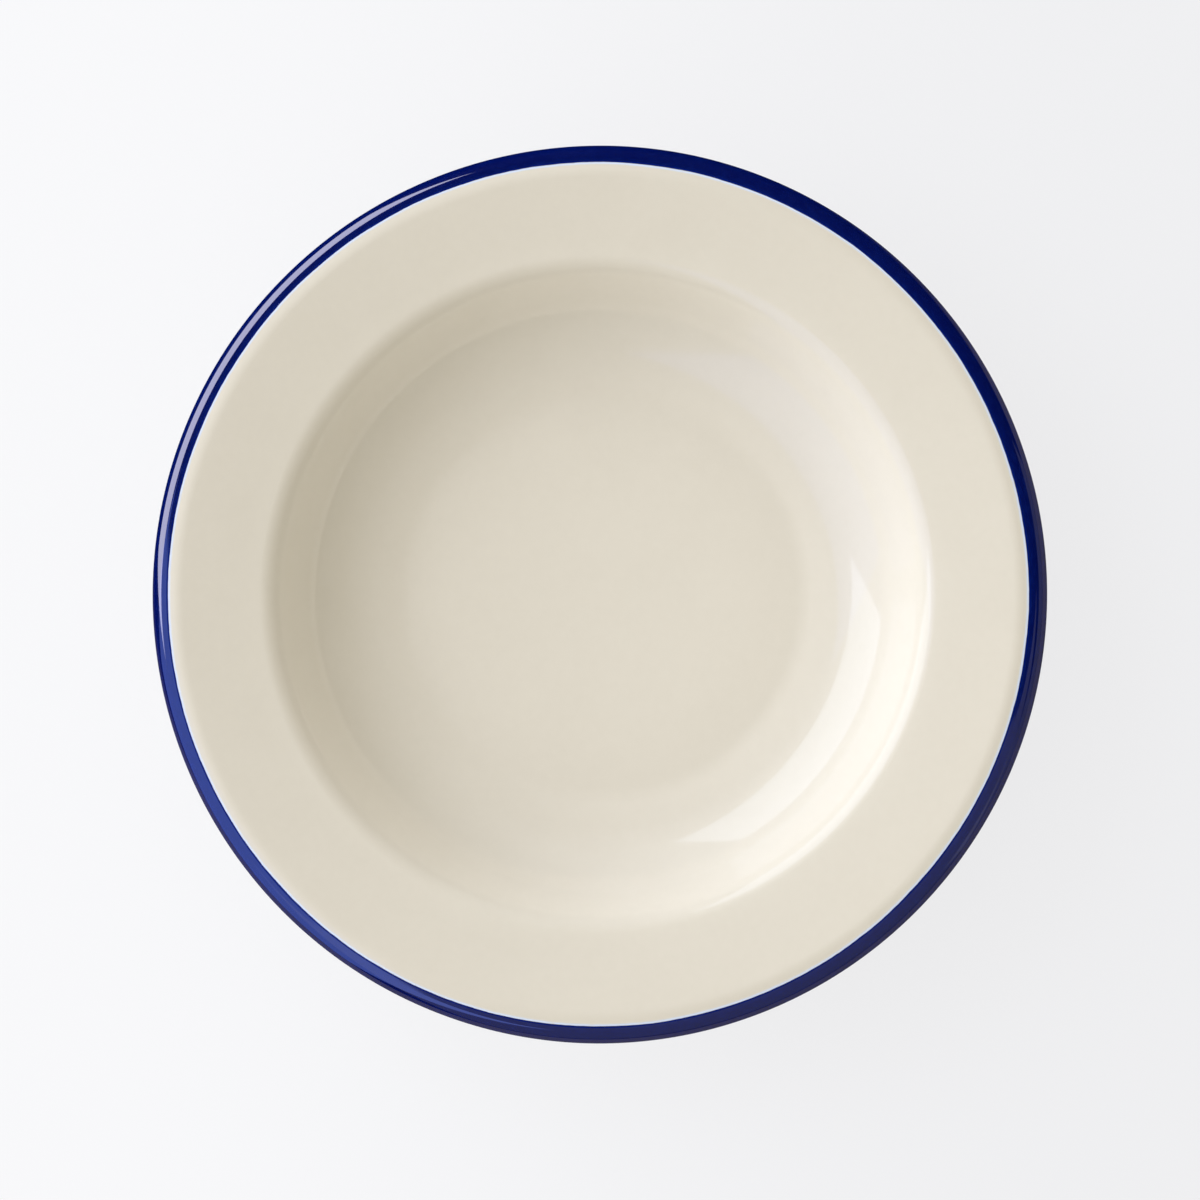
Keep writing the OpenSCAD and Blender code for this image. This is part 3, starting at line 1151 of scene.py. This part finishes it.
# Way to the floor's near side, which alone shows in the gloss, and the width over which it comes in
NEAR_WAY = Vector((0.5, -1.0))
FLOOR_SHADE = 0.12
BLACK = (0, 0, 0, 1)


def floor_material(studio):
    """Matt pale floor, most of which is drawn at its own brightness so that the shadow on it stays soft,
    with painted light that makes it lighter towards the window
    """
    material, tree = new_material("studio_floor")
    place = tree.node("ShaderNodeTexCoord").outputs["Object"]
    x, y, _ = tree.node("ShaderNodeSeparateXYZ", _0=place).outputs
    away = tree.ramp(radius_of(tree, place), FLOOR_NEAR, FLOOR_AWAY)
    # Painted light: the floor's colour is lighter on the -X side, towards the window, and goes to the far
    # colour away from it
    painted_falloff = tree.math("MAXIMUM", tree.ramp(x, -PAINTED_LIGHT_FADE, PAINTED_LIGHT_FADE), away)
    pale = tree.blend(painted_falloff, opaque(studio.floor_lit), opaque(studio.floor_far))
    path = tree.node("ShaderNodeLightPath").outputs
    near_side = tree.ramp(tree.total((x, NEAR_WAY.x), (y, NEAR_WAY.y)), -FLOOR_SHADE, 0.0)
    hidden = tree.total(1.0, (near_side, -studio.floor_gloss))
    dimmed = tree.math("MULTIPLY", path["Is Glossy Ray"], hidden)
    matt = tree.node("ShaderNodeBsdfDiffuse", Color=tree.blend(dimmed, pale, BLACK))
    bright = tree.node("ShaderNodeEmission", Color=pale)
    beyond_rim = tree.ramp(radius_of(tree, place), SHADOW_CORE * RIM_R, SHADOW_EDGE * RIM_R)
    under_glow = studio.floor_glow * studio.under_glow
    glow = tree.total(
        under_glow, (beyond_rim, studio.floor_glow - under_glow), (away, 1.0 - studio.floor_glow)
    )
    seen = tree.math("MULTIPLY", path["Is Camera Ray"], glow)
    mixed = tree.node("ShaderNodeMixShader", Fac=seen, _1=matt.outputs[0], _2=bright.outputs[0])
    tree.node("ShaderNodeOutputMaterial", Surface=mixed.outputs[0])
    return material


def room_world(studio):
    """Warm even light and cooler window light, pale where the camera sees it and dim in reflections"""
    world = bpy.data.worlds.new("studio")
    world.use_nodes = True
    tree = Tree(world.node_tree)
    way = tree.node("ShaderNodeTexCoord").outputs["Generated"]
    lobes = []
    for window in WINDOWS:
        facing = direction_from(math.pi / 2 - WINDOW_RISE, math.radians(window.side))
        nearness = tree.math("MAXIMUM", tree.vector("DOT_PRODUCT", way, facing), 0.0)
        lobes.append((tree.math("POWER", nearness, WINDOW_FOCUS), window.share * studio.window_light))
    daylight = tree.vector("MULTIPLY", studio.daylight, tree.repeated(tree.total(*lobes)))
    bounce = tree.vector("MULTIPLY", studio.bounce, (studio.room_light,) * 3)
    path = tree.node("ShaderNodeLightPath").outputs
    dimmed = tree.math("MULTIPLY", path["Is Glossy Ray"], studio.room_gloss - 1.0)
    soft = tree.math("ADD", dimmed, 1.0)
    lit = tree.node("ShaderNodeBackground", Color=tree.vector("ADD", daylight, bounce), Strength=soft)
    pale = tree.node("ShaderNodeBackground", Color=opaque(studio.floor_far), Strength=1.0)
    seen = path["Is Camera Ray"]
    mixed = tree.node("ShaderNodeMixShader", Fac=seen, _1=lit.outputs[0], _2=pale.outputs[0])
    tree.node("ShaderNodeOutputWorld", Surface=mixed.outputs[0])
    return world


def direction_from(lean, side):
    """Unit direction that leans off the plate's axis, towards a side in the plan"""
    return Vector((math.sin(lean) * math.cos(side), math.sin(lean) * math.sin(side), math.cos(lean)))


def hang(lamp, studio):
    """Adds an area lamp that the camera doesn't see"""
    data = bpy.data.lights.new(lamp.name, "AREA")
    data.shape = "RECTANGLE"
    data.size, data.size_y = lamp.size
    data.color = getattr(studio, lamp.tint)
    data.energy = getattr(studio, lamp.brightness) * lamp.size[0] * lamp.size[1] * LAMP_SPREAD
    made = bpy.data.objects.new(lamp.name, data)
    bpy.context.scene.collection.objects.link(made)
    made.visible_camera = False
    made.visible_diffuse = not lamp.only_gloss
    made.location = lamp.place
    facing = (Vector(lamp.place) - Vector(lamp.aim)).to_track_quat("Z", "Y")
    made.rotation_euler = (facing @ Quaternion((0, 0, 1), math.radians(lamp.roll))).to_euler()
    return made


class PLATE_OT_studio(bpy.types.Operator):
    """Set the floor, the lamps and the camera"""

    bl_idname = "soup_plate.studio"
    bl_label = "Studio"

    def execute(self, context):
        scene = context.scene
        studio = scene.plate_studio
        rim_centre = Vector((0, 0, RIM_H))
        half = FLOOR_SIZE / 2
        corners = [(-half, -half, 0), (half, -half, 0), (half, half, 0), (-half, half, 0)]
        mesh = bpy.data.meshes.new("studio_floor")
        mesh.from_pydata(corners, [], [range(len(corners))])
        mesh.materials.append(floor_material(studio))
        floor = bpy.data.objects.new("studio_floor", mesh)
        scene.collection.objects.link(floor)
        for lamp in LAMPS:
            hang(lamp, studio)
        scene.world = room_world(studio)
        camera = bpy.data.objects.new("camera", bpy.data.cameras.new("camera"))
        scene.collection.objects.link(camera)
        back_way = direction_from(studio.camera_lean, -studio.camera_side)
        camera.location = rim_centre + back_way * studio.camera_distance
        right = Vector((0, 1, 0)).cross(back_way).normalized()
        turn = Matrix((right, back_way.cross(right), back_way)).transposed()
        camera.rotation_euler = turn.to_euler()
        camera.data.sensor_width = SENSOR_W
        camera.data.lens = SENSOR_W * studio.camera_distance / studio.picture_w
        camera.data.shift_x = (IMAGE_W / 2 - RIM_CENTRE_PX.x) / IMAGE_W
        camera.data.shift_y = (RIM_CENTRE_PX.y - IMAGE_W / 2) / IMAGE_W
        scene.camera = camera
        scene.view_settings.view_transform = "Standard"
        return {"FINISHED"}


class PLATE_PT_panel(bpy.types.Panel):
    """Lists the plate's settings and the pieces that can be built"""

    bl_idname = "PLATE_PT_panel"
    bl_label = "Rimmed Soup Plate"
    bl_space_type = "VIEW_3D"
    bl_region_type = "UI"
    bl_category = "Soup Plate"

    def draw(self, context):
        for kind in PIECE_OPERATORS:
            self.layout.operator(kind.bl_idname)
        for name in ("plate_sizes", "plate_finish", "plate_studio"):
            group = getattr(context.scene, name)
            box = self.layout.box()
            for key in group.__annotations__:
                box.prop(group, key)


PIECE_OPERATORS = (
    PLATE_OT_clay_body,
    PLATE_OT_face_glaze,
    PLATE_OT_rim_band,
    PLATE_OT_back_glaze,
    PLATE_OT_foot_well_glaze,
    PLATE_OT_studio,
)
CLASSES = (PlateSizes, PlateFinish, StudioSettings, *PIECE_OPERATORS, PLATE_PT_panel)


def register():
    for kind in CLASSES:
        bpy.utils.register_class(kind)
    bpy.types.Scene.plate_sizes = bpy.props.PointerProperty(type=PlateSizes)
    bpy.types.Scene.plate_finish = bpy.props.PointerProperty(type=PlateFinish)
    bpy.types.Scene.plate_studio = bpy.props.PointerProperty(type=StudioSettings)


def unregister():
    del bpy.types.Scene.plate_studio
    del bpy.types.Scene.plate_finish
    del bpy.types.Scene.plate_sizes
    for kind in reversed(CLASSES):
        bpy.utils.unregister_class(kind)


def main():
    register()
    bpy.ops.soup_plate.clay_body()
    bpy.ops.soup_plate.face_glaze()
    bpy.ops.soup_plate.rim_band()
    bpy.ops.soup_plate.back_glaze()
    bpy.ops.soup_plate.foot_well_glaze()
    bpy.ops.soup_plate.studio()


if __name__ == "__main__":
    main()
